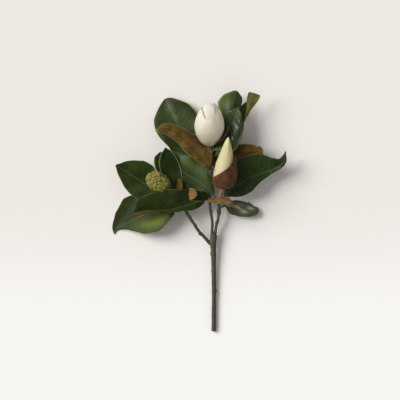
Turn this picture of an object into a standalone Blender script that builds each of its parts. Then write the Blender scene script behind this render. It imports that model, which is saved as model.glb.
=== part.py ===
# Magnolia branch, cut from the tree and lying on a flat surface.
# One woody stem forks into three twigs: the left one carries the seed pod, the middle one the white bud
# and most of the leaves, the right one the cream bud in its bract. Every length below is in millimetres;
# the axes are +X right, +Y along the stem from its cut end, +Z up.

import bpy
import bmesh
import numpy as np
from math import cos, pi, radians, sin, sqrt

MM = 0.001
GAP = 0.3

STEM_RADIUS = 4.5
STEM_SIDES = 12
TWIG_SIDES = 8
TWIG_RADIUS = {"left_twig": 3.0, "middle_twig": 2.6, "right_twig": 2.8}

STALK_RADIUS = 1.5
LEAF_THICKNESS = 1.1
LEAF_COLUMNS = 7
LEAF_ROWS = 15
LEAF_POINT = 1.25

WHITE_BUD_RADIUS = 29.4
CREAM_BUD_RADIUS = 22.5
POD_RADIUS = 20.0
PETAL_THICKNESS = 0.9

# ---------------------------------------------------------------- wood: centre lines from base to end

MAIN_STEM = [(-0.6, 0, 4.5), (-0.4, 60, 5.6), (-0.4, 110, 7.5), (-1, 150, 10.5), (-1.6, 176, 13),
             (-1, 197, 15.5)]
TWIGS = {
    "left_twig": [(-10.5, 178, 13), (-25, 194, 17), (-33, 203, 20), (-42, 217, 24), (-54, 236, 29),
                  (-70, 262, 38), (-85, 286, 53.5)],
    "middle_twig": [(-4, 197.6, 16), (-3.6, 219, 20), (-7.5, 240, 25), (-8, 256, 29), (-8, 273, 34),
                    (-6.5, 290, 38), (-7, 310, 43), (-9, 330, 48), (-11, 366.5, 58.8)],
    "right_twig": [(2.6, 197.6, 16), (4, 210, 19), (7.5, 221, 22), (9.5, 240, 27), (9.6, 248, 30),
                   (10, 255, 33)],
}
CREAM_STALK = [(10.4, 256.5, 34.5), (12, 268, 43), (16, 281, 55.5)]

# ---------------------------------------------------------------- buds and pod: axis from base to tip

WHITE_AXIS = ((-11, 368, 60), (-6, 457, 66))
CREAM_AXIS = ((17, 285, 60), (28, 386, 80))
POD_AXIS = ((-87, 288, 56), (-134, 312, 64))

# ---------------------------------------------------------------- leaves
# twig: what the stalk grows from; path: midrib from the twig's axis to the leaf tip; stalk: its bare
# length; left, right: widths of the halves, seen along the path; widest: where, from 0 to 1;
# roll, fold, cup: degrees (twist about the midrib, V between the halves, and bend of each half up
# towards its edge). A row of values is read at even stations along the blade.

LEAVES = {
    "leaf_upper_left": dict(
        twig="middle_twig", stalk=16, left=46, right=44, widest=0.5, roll=(0, -6, -10, -6, 0), fold=(4, 2),
        cup=(6,),
        path=[(-9, 342, 51), (-20, 348, 43), (-41, 363, 28), (-67, 404, 17), (-83, 434, 9), (-97, 465, 0.7)]),
    "leaf_rust_upper": dict(
        twig="middle_twig", stalk=10, left=15, right=22, widest=0.5, roll=(180,), fold=(5,), cup=(50, 60, 40),
        path=[(-8, 322, 46), (-18, 333, 53), (-44, 364, 58), (-76, 396, 58), (-98, 404, 55),
              (-117, 399, 50)]),
    "leaf_top": dict(
        twig="middle_twig", stalk=12, left=(12, 28, 31), right=(14, 22), widest=0.6, roll=(10,), fold=(2,),
        cup=(6,),
        path=[(-11, 362, 57), (0, 368, 44), (16, 392, 27), (30, 424, 25), (38, 452, 30), (43, 480, 38)]),
    "leaf_top_front": dict(
        twig="middle_twig", stalk=10, left=(12, 14), right=20, widest=0.5, roll=(6,), fold=(4,), cup=(8,),
        path=[(-10, 356, 55), (4, 364, 46), (18, 380, 37), (34, 410, 36), (44, 432, 39), (50, 448, 43)]),
    "leaf_top_dark": dict(
        twig="middle_twig", stalk=12, left=16, right=16, widest=0.55, roll=(0,), fold=(8,), cup=(8,),
        path=[(-10, 350, 53), (0, 353, 35), (14, 368, 16), (42, 414, 10), (56, 438, 14), (66, 457, 18)]),
    "leaf_top_right": dict(
        twig="middle_twig", stalk=12, left=(10, 16, 14, 8, 10, 16, 22), right=(20, 24, 16, 8, 10, 18, 24),
        widest=0.55, roll=(0, 0, 10, 60, 140, 165, 170), fold=(2,), cup=(6,),
        path=[(-9, 346, 52), (4, 352, 37), (24, 372, 20), (42, 394, 16), (59, 420, 23), (70, 446, 39),
              (81, 475, 53)]),
    "leaf_far_left": dict(
        twig="left_twig", stalk=12, left=(34, 34, 26), right=(34, 34, 22), widest=0.45, roll=(0,),
        fold=(8, 4), cup=(10,),
        path=[(-78, 274, 42), (-92, 276, 34), (-131, 290, 27), (-157, 307, 27), (-177, 320, 31),
              (-196, 331, 37)]),
    "leaf_low_left": dict(
        twig="left_twig", stalk=14, left=(42, 42, 28), right=(44, 47, 38, 20), widest=0.43,
        roll=(4, 8, 6, 0), fold=(4,), cup=(8,),
        path=[(-62, 249, 33), (-76, 258, 27), (-110, 248, 19), (-142, 232, 12), (-168, 219, 7),
              (-187, 208, 3.4), (-199, 194, 0.6)]),
    "leaf_front": dict(
        twig="middle_twig", stalk=10, left=(26, 20, 8, 4, 4), right=(46, 50, 46), widest=0.55,
        roll=(10, 25, 30), fold=(4,), cup=(10,),
        path=[(-8, 262, 30), (-18, 262, 37), (-40, 256, 42), (-70, 247, 45), (-105, 239, 46), (-135, 238, 44),
              (-160, 234, 40)]),
    "leaf_behind_pod": dict(
        twig="left_twig", stalk=6, left=(8, 18, 24, 22), right=22, widest=0.42, roll=(0,), fold=(4,),
        cup=(8, 16), path=[(-80, 278, 47), (-79, 288, 42), (-86, 312, 38), (-92, 340, 42), (-97, 366, 50)]),
    "leaf_hidden_left": dict(
        twig="left_twig", stalk=10, left=10, right=13, widest=0.6, roll=(0,), fold=(6,), cup=(6,),
        path=[(-74, 268, 40), (-84, 284, 28), (-102, 314, 17), (-113, 338, 16), (-116, 354, 20)]),
    "leaf_left_inner": dict(
        twig="right_twig", stalk=24, left=(14, 30, 30), right=(14, 33, 34), widest=0.5, roll=(0,),
        fold=(6, 2), cup=(6, 2),
        path=[(9.8, 252, 32), (3, 266, 42), (-8, 280, 46), (-31, 299, 41), (-64, 320, 35),
              (-92, 348, 29)]),
    "leaf_curled": dict(
        twig="middle_twig", stalk=8, left=10, right=10, widest=0.6, roll=(0,), fold=(4,), cup=(10,),
        path=[(-8, 270, 33), (-16, 269, 46), (-34, 270, 57), (-46, 272, 62), (-50, 273, 67), (-46, 274, 72),
              (-34, 274, 74)]),
    "leaf_folded": dict(
        twig="right_twig", stalk=14, left=8, right=8, widest=0.55, roll=(0,), fold=(6,), cup=(14,),
        path=[(9.6, 246, 29), (22, 250, 34), (34, 256, 42), (36, 260, 51), (24, 261, 56), (4, 262, 57),
              (-14, 261, 56)]),
    "leaf_right": dict(
        twig="right_twig", stalk=22, left=(46, 48, 38, 30), right=(26, 24, 12, 4), widest=0.5,
        roll=(0,), fold=(4,), cup=(8,),
        path=[(9.8, 250, 31), (20, 268, 35), (34, 283, 37), (67, 304, 38), (99, 317, 36), (124, 327, 34),
              (138, 338, 36), (142, 359, 42)]),
    "leaf_rust_right": dict(
        twig="middle_twig", stalk=10, left=20, right=18, widest=0.5, roll=(180,), fold=(4,), cup=(12,),
        path=[(-9, 332, 48), (4, 338, 43), (34, 352, 37), (66, 356, 35), (96, 364, 38)]),
    "stipule": dict(
        twig="left_twig", stalk=3, left=5, right=5, widest=0.5, roll=(0,), fold=(10,), cup=(20,),
        path=[(-77, 272, 45), (-70, 284, 48), (-68, 294, 47), (-70, 305, 46)]),
    "leaf_low_right": dict(
        twig="right_twig", stalk=14, left=(12, 20, 20), right=22, widest=0.5, roll=(0,), fold=(6, 4),
        cup=(10,),
        path=[(9.5, 241, 28), (20, 250, 22), (36, 254, 13), (58, 246, 6.6), (76, 241, 5.6), (88, 245, 7.4)]),
}

RUST_SIDE_UP = ("leaf_rust_upper", "leaf_rust_right", "leaf_folded", "stipule")

# ---------------------------------------------------------------- colours of the finishes

COLOURS = {
    "bark": ((0.060, 0.052, 0.030), 0.75),
    "leaf_green": ((0.030, 0.065, 0.015), 0.30),
    "leaf_rust": ((0.130, 0.070, 0.020), 0.70),
    "white_petal": ((0.700, 0.660, 0.560), 0.50),
    "cream_petal": ((0.660, 0.640, 0.360), 0.50),
    "bract": ((0.100, 0.035, 0.020), 0.65),
    "pod": ((0.250, 0.240, 0.060), 0.60),
    "stalk": ((0.300, 0.110, 0.060), 0.60),
}


def material(finish, node):
    colour, rough = COLOURS[finish]
    made = bpy.data.materials.new(finish + "_" + node)
    made.use_nodes = True
    shader = made.node_tree.nodes["Principled BSDF"]
    shader.inputs["Base Color"].default_value = (*colour, 1)
    shader.inputs["Roughness"].default_value = rough
    shader.inputs["Metallic"].default_value = 0
    return made


def add_node(name, finish, points, faces):
    mesh = bpy.data.meshes.new(name)
    mesh.from_pydata([tuple(p) for p in np.array(points) * MM], [], faces)
    shaped = bmesh.new()
    shaped.from_mesh(mesh)
    bmesh.ops.recalc_face_normals(shaped, faces=shaped.faces)
    if shaped.calc_volume(signed=True) < 0:
        bmesh.ops.reverse_faces(shaped, faces=shaped.faces)
    shaped.to_mesh(mesh)
    shaped.free()
    mesh.shade_smooth()
    mesh.materials.append(material(finish, name))
    part = bpy.data.objects.new(name, mesh)
    bpy.context.collection.objects.link(part)
    return part


def smooth_path(points, count):
    # Catmull-Rom curve through the points, read again at equal steps
    given = np.array(points, float)
    ends = np.vstack([2 * given[0] - given[1], given, 2 * given[-1] - given[-2]])
    fine = []
    for before, start, stop, after in zip(ends[:-3], ends[1:-2], ends[2:-1], ends[3:]):
        for t in np.linspace(0, 1, 16, endpoint=False):
            fine.append(0.5 * (2 * start + (stop - before) * t
                               + (2 * before - 5 * start + 4 * stop - after) * t ** 2
                               + (3 * start - before - 3 * stop + after) * t ** 3))
    fine = np.array(fine + [given[-1]])
    steps = np.linalg.norm(np.diff(fine, axis=0), axis=1)
    run = np.concatenate([[0], np.cumsum(steps)])
    even = np.linspace(0, run[-1], count)
    return np.array([np.interp(even, run, fine[:, k]) for k in range(3)]).T


def frames_along(path):
    # tangent, side and up at each point; the side is carried along, so a folded leaf does not flip
    along = np.gradient(path, axis=0)
    along /= np.linalg.norm(along, axis=1)[:, None]
    side = np.cross(along[0], (0, 0, 1))
    sides = []
    for tangent in along:
        side = side - tangent * np.dot(side, tangent)
        side /= np.linalg.norm(side)
        sides.append(side)
    sides = np.array(sides)
    return along, sides, np.cross(sides, along)


def skin(loops, tip=None):
    # faces over a row of equal loops, closed by a cap at the start and a cap or a point at the end
    size = len(loops[0])
    points = [p for loop in loops for p in loop]
    faces = [list(range(size))]
    for row in range(len(loops) - 1):
        for k in range(size):
            a, b = row * size + k, row * size + (k + 1) % size
            faces.append([a, b, b + size, a + size])
    last = (len(loops) - 1) * size
    if tip is None:
        faces.append([last + k for k in reversed(range(size))])
    else:
        points.append(tip)
        faces += [[last + k, last + (k + 1) % size, len(points) - 1] for k in range(size)]
    return points, faces


def tube(name, finish, route, radii, sides, rows):
    # radii: the radius at even stations along the route
    path = smooth_path(route, rows)
    _, side, up = frames_along(path)
    radius = np.interp(np.linspace(0, 1, rows), np.linspace(0, 1, len(radii)), radii)
    turns = [2 * pi * k / sides for k in range(sides)]
    loops = [[c + r * (cos(a) * s + sin(a) * u) for a in turns] for c, r, s, u in zip(path, radius, side, up)]
    return add_node(name, finish, *skin(loops))


def clear_start(route, twig):
    # moves the start of a stalk from the twig's axis out to its surface, plus the gap
    axis = smooth_path(TWIGS[twig], 60)
    base = np.array(route[0], float)
    near = int(np.argmin(np.linalg.norm(axis - base, axis=1)))
    grain = axis[min(near + 1, len(axis) - 1)] - axis[max(near - 1, 0)]
    grain /= np.linalg.norm(grain)
    path = smooth_path(route, 400)
    heading = path[6] - path[0]
    heading /= np.linalg.norm(heading)
    slope = abs(float(np.dot(heading, grain)))
    reach = (TWIG_RADIUS[twig] * 1.12 + GAP + STALK_RADIUS * slope) / sqrt(1 - slope ** 2)
    run = np.linalg.norm(path - path[0], axis=1)
    return path[int(np.argmax(run >= reach)):]


def stations(values, where):
    # a single number, or values at even stations from 0 to 1
    values = np.atleast_1d(values)
    return float(np.interp(where, np.linspace(0, 1, len(values)), values))


def blade_width(t, widest):
    # outline of one half from the stalk (0) to the tip (1): pointed ellipse, 1 where it is widest
    return (t / widest) ** (LEAF_POINT * widest) * ((1 - t) / (1 - widest)) ** (LEAF_POINT * (1 - widest))


def leaf(name, finish, twig, path, stalk, left, right, widest, roll, fold, cup):
    route = clear_start(path, twig)
    steps = np.linalg.norm(np.diff(route, axis=0), axis=1)
    length = float(steps.sum())
    run = np.concatenate([[0], np.cumsum(steps)])
    # two rows on the stalk, the others on the blade, closer together at its ends
    blades = np.array([0.5 - 0.5 * cos(pi * k / (LEAF_ROWS - 1)) for k in range(LEAF_ROWS)])
    where = np.concatenate([[0, 0.6 * stalk], stalk + (length - stalk) * blades])
    centre = np.array([np.interp(where, run, route[:, k]) for k in range(3)]).T
    _, side, up = frames_along(centre)
    across = [-cos(pi * k / (LEAF_COLUMNS - 1)) for k in range(LEAF_COLUMNS)]
    loops = []
    for c, s, u, run_here in list(zip(centre, side, up, where))[:-1]:
        blade = max(0.0, (run_here - stalk) / (length - stalk))
        shape = blade_width(blade, widest)
        spread = min(1.0, blade / 0.3)
        turn = radians(stations(roll, blade))
        tilt = radians(stations(fold, blade)) * spread
        bend = radians(stations(cup, blade)) * spread + 1e-4
        s, u = cos(turn) * s + sin(turn) * u, cos(turn) * u - sin(turn) * s
        thick = STALK_RADIUS + (LEAF_THICKNESS / 2 - STALK_RADIUS) * min(1.0, blade / 0.5) ** 0.5
        top, under = [], []
        for x in across:
            wide = STALK_RADIUS + stations(left if x < 0 else right, blade) * shape
            angle = tilt + bend * abs(x)
            out = np.sign(x) * wide * (sin(angle) - sin(tilt)) / bend
            rise = wide * (cos(tilt) - cos(angle)) / bend
            normal = -np.sign(x) * sin(angle) * s + cos(angle) * u
            depth = thick * sqrt(max(0.0, 1 - x * x)) ** (1 - 0.6 * spread)
            middle = c + out * s + rise * u
            top.append(middle + depth * normal)
            under.append(middle - depth * normal)
        loops.append(top + under[-2:0:-1])
    return add_node(name, finish, *skin(loops, tip=centre[-1]))


def axis_frame(axis):
    base, tip = (np.array(end, float) for end in axis)
    along = (tip - base) / np.linalg.norm(tip - base)
    side = np.cross(along, (0, 0, 1))
    side /= np.linalg.norm(side)
    return base, tip, side, np.cross(side, along)


def ovoid(name, finish, axis, radius, sides, rows):
    # a closed turned body; radius is a function of the place along the axis, from 0 to 1
    base, tip, side, up = axis_frame(axis)
    turns = [2 * pi * k / sides for k in range(sides)]
    loops = []
    for t in [0.5 - 0.5 * cos(pi * k / rows) for k in range(1, rows)]:
        centre = base + (tip - base) * t
        loops.append([centre + radius(t) * (cos(a) * side + sin(a) * up) for a in turns])
    points, faces = skin(loops, tip=tip)
    points.append(base)
    faces = faces[1:] + [[k, (k + 1) % sides, len(points) - 1] for k in range(sides)]
    return add_node(name, finish, points, faces)


def wrap(name, finish, axis, radius, span, reach, lift, flare=0, thickness=PETAL_THICKNESS, columns=11,
         rows=8):
    # a petal or bract lying round an axis: span in degrees (0 right, 90 up); reach: where it starts and where
    # it ends at even stations of the span; lift: how far it stands off along the span; flare: more at its end
    base, tip, side, up = axis_frame(axis)

    def spot(i, j, out):
        across = i / (columns - 1)
        angle = radians(span[0] + (span[1] - span[0]) * across)
        t = reach[0] + (stations(reach[1], across) - reach[0]) * j / (rows - 1)
        r = max(0.6, radius(t)) + stations(lift, across) + flare * (j / (rows - 1)) ** 2 + out
        return base + (tip - base) * t + r * (cos(angle) * side + sin(angle) * up)

    loops = []
    for j in range(rows):
        outer = [spot(i, j, 0) for i in range(columns)]
        inner = [spot(i, j, -thickness) for i in range(columns)]
        loops.append(outer + inner[::-1])
    return add_node(name, finish, *skin(loops))


def white_radius(t):
    return WHITE_BUD_RADIUS * max(0.0, sin(pi * t ** 0.9)) ** 0.6


def cream_radius(t):
    return CREAM_BUD_RADIUS * max(0.0, sin(pi * t ** 0.53)) ** 0.745


def pod_radius(t):
    return POD_RADIUS * max(0.0, sin(pi * t ** 1.05)) ** 0.5


def build_wood():
    swell = (1, 0.96, 0.92, 0.98, 1.06, 1.24, 1.42)
    tube("main_stem", "bark", MAIN_STEM, [STEM_RADIUS * k for k in swell], STEM_SIDES, 14)
    for name, route in TWIGS.items():
        r = TWIG_RADIUS[name]
        tube(name, "bark", route, (r * 1.05, r, r * 1.08, r * 0.96, r * 1.08, r), TWIG_SIDES, 15)
    tube("cream_stalk", "stalk", CREAM_STALK, (3.4, 4.2, 5.0), TWIG_SIDES, 5)


def build_leaves():
    for name, leaf_values in LEAVES.items():
        finish = "leaf_rust" if name in RUST_SIDE_UP else "leaf_green"
        leaf(name, finish, **leaf_values)


def build_white_bud():
    ovoid("white_petals_inner", "white_petal", WHITE_AXIS, lambda t: max(0.4, white_radius(t) - 3.0), 16, 11)
    overlap = (0.8, -1.0)
    wrap("white_petal_left", "white_petal", WHITE_AXIS, white_radius, (72, 232),
         (0.03, (0.60, 0.80, 0.84, 0.86, 0.80)), overlap)
    wrap("white_petal_right", "white_petal", WHITE_AXIS, white_radius, (-52, 104),
         (0.03, (0.84, 0.90, 0.86, 0.66)), overlap)
    wrap("white_petal_back", "white_petal", WHITE_AXIS, white_radius, (206, 332),
         (0.03, (0.80, 0.88, 0.80)), overlap)
    wrap("bud_bract_left", "bract", WHITE_AXIS, white_radius, (145, 212), (0.01, (0.1, 0.2, 0.38, 0.14)),
         (3.2,), flare=12, columns=7, rows=6)
    wrap("bud_bract_right", "bract", WHITE_AXIS, white_radius, (-34, 40), (0.01, (0.12, 0.38, 0.6, 0.3, 0.1)),
         (3.2,), flare=5, columns=9, rows=7)


def build_cream_bud():
    ovoid("cream_petals_inner", "cream_petal", CREAM_AXIS, lambda t: max(0.4, cream_radius(t) - 3.5), 14, 11)
    wrap("cream_petal_outer", "cream_petal", CREAM_AXIS, cream_radius, (20, 250),
         (0.06, (0.94, 0.94, 0.9, 0.8)), (-0.9, -1.5), columns=13)
    wrap("cream_bract", "bract", CREAM_AXIS, cream_radius, (-110, 190),
         (0.004, (0.35, 0.6, 0.7, 0.47, 0.27, 0.15)), (1.6, 2.8, 3.4, 2.2, 1.6), thickness=1.2, columns=13)


def build_pod():
    ovoid("seed_pod", "pod", POD_AXIS, pod_radius, 14, 11)


def clear_scene():
    for thing in list(bpy.data.objects):
        bpy.data.objects.remove(thing, do_unlink=True)


def rest_on_origin():
    # moves the whole branch so that its box stands on the origin, bottom centre
    corners = np.array([part.matrix_world @ v.co for part in bpy.data.objects for v in part.data.vertices])
    low, high = corners.min(axis=0), corners.max(axis=0)
    shift = ((low[0] + high[0]) / 2, (low[1] + high[1]) / 2, low[2])
    for part in bpy.data.objects:
        part.location = [-move for move in shift]


clear_scene()
build_wood()
build_leaves()
build_white_bud()
build_cream_bud()
build_pod()
rest_on_origin()
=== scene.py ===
import bpy
import bmesh
import numpy as np
from math import cos, pi, radians, sin
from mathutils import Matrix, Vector, noise


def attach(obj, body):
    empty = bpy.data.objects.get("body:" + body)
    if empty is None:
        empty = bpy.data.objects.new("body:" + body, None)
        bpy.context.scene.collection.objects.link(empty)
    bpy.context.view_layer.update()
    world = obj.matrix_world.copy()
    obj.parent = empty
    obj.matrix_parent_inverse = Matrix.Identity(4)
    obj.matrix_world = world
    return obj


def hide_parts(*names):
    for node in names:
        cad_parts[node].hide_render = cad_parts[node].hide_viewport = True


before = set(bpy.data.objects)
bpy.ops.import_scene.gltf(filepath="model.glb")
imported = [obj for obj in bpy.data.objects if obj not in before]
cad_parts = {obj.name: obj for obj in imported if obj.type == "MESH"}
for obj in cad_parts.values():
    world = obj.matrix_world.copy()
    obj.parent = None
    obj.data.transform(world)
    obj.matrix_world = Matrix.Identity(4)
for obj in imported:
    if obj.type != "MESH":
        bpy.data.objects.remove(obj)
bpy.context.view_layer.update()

mm = 0.001  # every length below is in millimetres, measured from the cut end of the stem


def linear(hexColour):
    # sRGB hex to the linear values that shader sockets take
    parts = [int(hexColour[k:k + 2], 16) / 255 for k in (0, 2, 4)]
    return [p / 12.92 if p <= 0.04045 else ((p + 0.055) / 1.055) ** 2.4 for p in parts] + [1]


def fill(tree, node, inputs):
    # links or types each value into its socket, given by name or place; a colour may be typed in as hex
    for socket, value in inputs.items():
        if isinstance(value, bpy.types.NodeSocket):
            tree.links.new(value, node.inputs[socket])
        else:
            node.inputs[socket].default_value = linear(value) if isinstance(value, str) else value


def addTo(tree, kind, inputs, out=0, stops=(), **settings):
    # one node with its settings, inputs and ramp colours; out is the socket that is handed on
    made = tree.nodes.new("ShaderNode" + kind)
    for name, value in settings.items():
        setattr(made, name, value)
    fill(tree, made, inputs)
    for place, (at, colour) in enumerate(stops):
        ramp = made.color_ramp.elements
        point = ramp[place] if place < 2 else ramp.new(at)
        point.position, point.color = at, linear(colour)
    return made.outputs[out]


# what a Mix node needs for colours: socket 0 is how much, 6 the colour below, 7 the colour above
colourMix = dict(out=2, data_type="RGBA")


def newMaterial(name, *labels):
    # a material with its tree, the place on the object, and the marks that its meshes carry
    made = bpy.data.materials.new(name)
    made.use_nodes = True
    tree = made.node_tree
    place = addTo(tree, "TexCoord", {}, out="Object")
    mark = {label: addTo(tree, "Attribute", {}, out="Fac", attribute_name=label) for label in labels}
    return made, tree, place, mark


def smoothPath(points, count):
    # Catmull-Rom curve through the points, read again at equal steps
    given = np.array(points, float)
    ends = np.vstack([2 * given[0] - given[1], given, 2 * given[-1] - given[-2]])
    fine = []
    for before, start, stop, after in zip(ends[:-3], ends[1:-2], ends[2:-1], ends[3:]):
        for t in np.linspace(0, 1, 24, endpoint=False):
            fine.append(0.5 * (2 * start + (stop - before) * t
                               + (2 * before - 5 * start + 4 * stop - after) * t ** 2
                               + (3 * start - before - 3 * stop + after) * t ** 3))
    fine = np.array(fine + [given[-1]])
    run = np.concatenate([[0], np.cumsum(np.linalg.norm(np.diff(fine, axis=0), axis=1))])
    even = np.linspace(0, run[-1], count)
    return np.array([np.interp(even, run, fine[:, k]) for k in range(3)]).T


def framesAlong(path):
    # side and up at each point; the side is carried along, so a folded leaf does not flip
    heading = np.gradient(path, axis=0)
    heading /= np.linalg.norm(heading, axis=1)[:, None]
    side = np.cross(heading[0], (0, 0, 1))
    sides = []
    for tangent in heading:
        side = side - tangent * np.dot(side, tangent)
        side /= np.linalg.norm(side)
        sides.append(side)
    sides = np.array(sides)
    return sides, np.cross(sides, heading)


def outward(angle, side, up):
    # direction at an angle round an axis: 0 is to the side, a quarter turn is up
    return np.cos(angle)[..., None] * side + np.sin(angle)[..., None] * up


def stations(values, where):
    # a single number, or values at even stations from 0 to 1
    values = np.atleast_1d(values)
    return np.interp(where, np.linspace(0, 1, len(values)), values)


def smoothStep(low, high, value):
    t = np.clip((value - low) / (high - low), 0, 1)
    return t * t * (3 - 2 * t)


def roughness3d(points, size, seed=0.0):
    # smooth noise from -1 to 1 at each point, with lumps of the given size
    flat = np.reshape(points, (-1, 3)) / size + seed
    return np.array([noise.noise(p) for p in flat]).reshape(np.shape(points)[:-1])


def skin(loops, tip=None):
    # faces over a row of equal loops, with a cap at the start and a cap or a point at the end
    rows, size = loops.shape[:2]
    points = loops.reshape(-1, 3)
    a = (np.arange(rows - 1)[:, None] * size + np.arange(size)).ravel()
    b = (np.arange(rows - 1)[:, None] * size + (np.arange(size) + 1) % size).ravel()
    faces = np.stack([a, b, b + size, a + size], axis=1).tolist()
    last = (rows - 1) * size
    faces.append(list(range(size))[::-1])
    if tip is None:
        faces.append([last + k for k in range(size)])
    else:
        points = np.vstack([points, tip])
        faces += [[last + k, last + (k + 1) % size, len(points) - 1] for k in range(size)]
    return points, faces


twigSwell = (1.3, 1.1, 1.02, 1, 1.04, 0.96, 1.05, 1, 1)
# path: centre line; radius, swell: radius and its share at even stations along the path
# knobs: place along the path in mm, side in degrees (0 right, 90 up), how far it stands out, its width
# rings: old leaf scars, with place along the path, height and width
branches = {
    "main_stem": dict(
        radius=4.5, swell=(1, 0.96, 0.92, 0.98, 1.06, 1.24, 1.42),
        path=[(-0.6, 0, 4.5), (-0.4, 60, 5.6), (-0.4, 110, 7.5), (-1, 150, 10.5), (-1.6, 176, 13),
              (-1, 197, 15.5)],
        knobs=[(80, 0, 1.6, 3.0), (155, 175, 1.5, 3.5), (121, 200, 0.7, 3), (187, 20, 1.6, 6),
               (178, 160, 1.8, 6)],
        rings=[(30, 0.45, 0.9), (44, 0.5, 1.0), (47, 0.35, 0.7), (96, 0.35, 0.8), (140, 0.4, 0.9),
               (168, 0.5, 1.2), (192, 0.6, 1.6)]),
    "left_twig": dict(
        radius=3.0, swell=twigSwell,
        path=[(-2, 170, 12), (-10.5, 178, 13), (-25, 194, 17), (-33, 203, 20), (-42, 217, 24), (-54, 236, 29),
              (-70, 262, 38), (-88, 289, 56)],
        knobs=[(36, 150, 2.2, 4), (56, 20, 1.4, 4), (84, 160, 1.2, 4)],
        rings=[(20, 0.35, 0.8), (37, 0.5, 1.0), (58, 0.4, 0.9), (86, 0.4, 0.9)]),
    "middle_twig": dict(
        radius=2.6, swell=twigSwell,
        path=[(-2, 188, 14.6), (-4, 197.6, 16), (-3.6, 219, 20), (-7.5, 240, 25), (-8, 256, 29),
              (-8, 273, 34), (-6.5, 290, 38), (-7, 310, 43), (-9, 330, 48), (-11, 369, 60)],
        knobs=[(52, 10, 1.4, 4), (84, 180, 1.4, 4), (138, 20, 1.8, 4)],
        rings=[(24, 0.3, 0.8), (54, 0.4, 1.0), (86, 0.45, 1.0), (112, 0.3, 0.8), (140, 0.4, 0.9)]),
    "right_twig": dict(
        radius=2.8, swell=twigSwell,
        path=[(0, 188, 14.6), (2.6, 197.6, 16), (4, 210, 19), (7.5, 221, 22), (9.5, 240, 27), (9.6, 248, 30),
              (10.4, 257, 34.5)],
        knobs=[(30, 170, 1.6, 4), (52, 10, 1.8, 6), (55, 185, 1.6, 6)],
        rings=[(14, 0.3, 0.8), (33, 0.4, 0.9), (50, 0.6, 1.2), (58, 0.4, 0.9)]),
}
cutCentre = branches["main_stem"]["path"][0]
stemCorners = np.array([v.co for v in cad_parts["main_stem"].data.vertices]) / mm
cutCorners = stemCorners[stemCorners[:, 1] < stemCorners[:, 1].min() + 1]
shift = (cutCorners.min(axis=0) + cutCorners.max(axis=0)) / 2 - cutCentre  # from the cut end to the frame


def addPiece(node, points, faces, materials, slot, marks=None, faceMaterial=None):
    # a closed mesh; leaf_top becomes leafTop, and stands for the solid of that name where there is one
    first, *others = node.split("_")
    name = first + "".join(word.capitalize() for word in others)
    nodes = [node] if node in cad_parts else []
    mesh = bpy.data.meshes.new(name)
    mesh.from_pydata(((np.array(points) + shift) * mm).tolist(), [], faces)
    for label, values in (marks or {}).items():
        kept = np.zeros(len(points))
        kept[:len(values)] = values
        kept[len(values):] = values[-1]
        mesh.attributes.new(label, "FLOAT", "POINT").data.foreach_set("value", kept.astype(np.float32))
    for finish in materials:
        mesh.materials.append(finish)
    if faceMaterial is not None:
        mesh.polygons.foreach_set("material_index", faceMaterial)
    shaped = bmesh.new()
    shaped.from_mesh(mesh)
    if shaped.calc_volume(signed=True) < 0:
        bmesh.ops.reverse_faces(shaped, faces=shaped.faces)
    shaped.to_mesh(mesh)
    shaped.free()
    mesh.shade_smooth()
    piece = bpy.data.objects.new(name, mesh)
    bpy.context.collection.objects.link(piece)
    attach(piece, "root")
    if nodes:
        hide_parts(*nodes)
    return piece


woodValues = dict(sides=40, step=0.7, scarSlant=0.8, grooveDepth=0.6, grooveAt=1.5, darkAt=1.4, darkWidth=0.6,
                  knobWidth=0.75, fineLumps=(0.22, 2.2), broadLumps=(0.3, 9), greyFrom=60, greyTo=330)
cutValues = dict(radius=4.15, sides=48, rings=9, middle=-0.35, dish=0.25, pith=-0.3, depth=1.6)


def makeBark():
    # magnolia bark: smooth grey-brown skin over green, with pale pores and fine cracks across
    made, tree, place, mark = newMaterial("magnoliaBark", "heightOnBranch", "ring")
    stretched = addTo(tree, "Mapping", {0: place, 3: (1, 0.35, 1)})
    grain = addTo(tree, "TexNoise", {"Vector": stretched, "Scale": 420, "Detail": 6, "Roughness": 0.65})
    blotch = addTo(tree, "TexNoise", {"Vector": place, "Scale": 70, "Detail": 3})
    pores = addTo(tree, "TexVoronoi", {"Vector": place, "Scale": 260})
    fleck = addTo(tree, "MapRange", {0: grain, 1: 0.56, 2: 0.68})
    poreMask = addTo(tree, "MapRange", {0: pores, 1: 0.16, 2: 0.08})
    palePore = addTo(tree, "Math", {0: poreMask, 1: 0.6}, operation="MULTIPLY")
    colour = addTo(tree, "Mix", {0: blotch, 6: "2d2816", 7: "443d27"}, **colourMix)
    upper = addTo(tree, "Mix", {0: blotch, 6: "373626", 7: "56543f"}, **colourMix)
    for mask, above in ((mark["heightOnBranch"], upper), (fleck, "2f291c"), (palePore, "a09c8c"),
                        (mark["ring"], "2c2519")):
        colour = addTo(tree, "Mix", {0: mask, 6: colour, 7: above}, **colourMix)
    fill(tree, tree.nodes["Principled BSDF"], {
        "Base Color": colour, "Roughness": addTo(tree, "MapRange", {0: grain, 3: 0.5, 4: 0.75}),
        "Normal": addTo(tree, "Bump", {"Height": grain, "Strength": 0.5, "Distance": 0.0006})})
    return made


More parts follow.
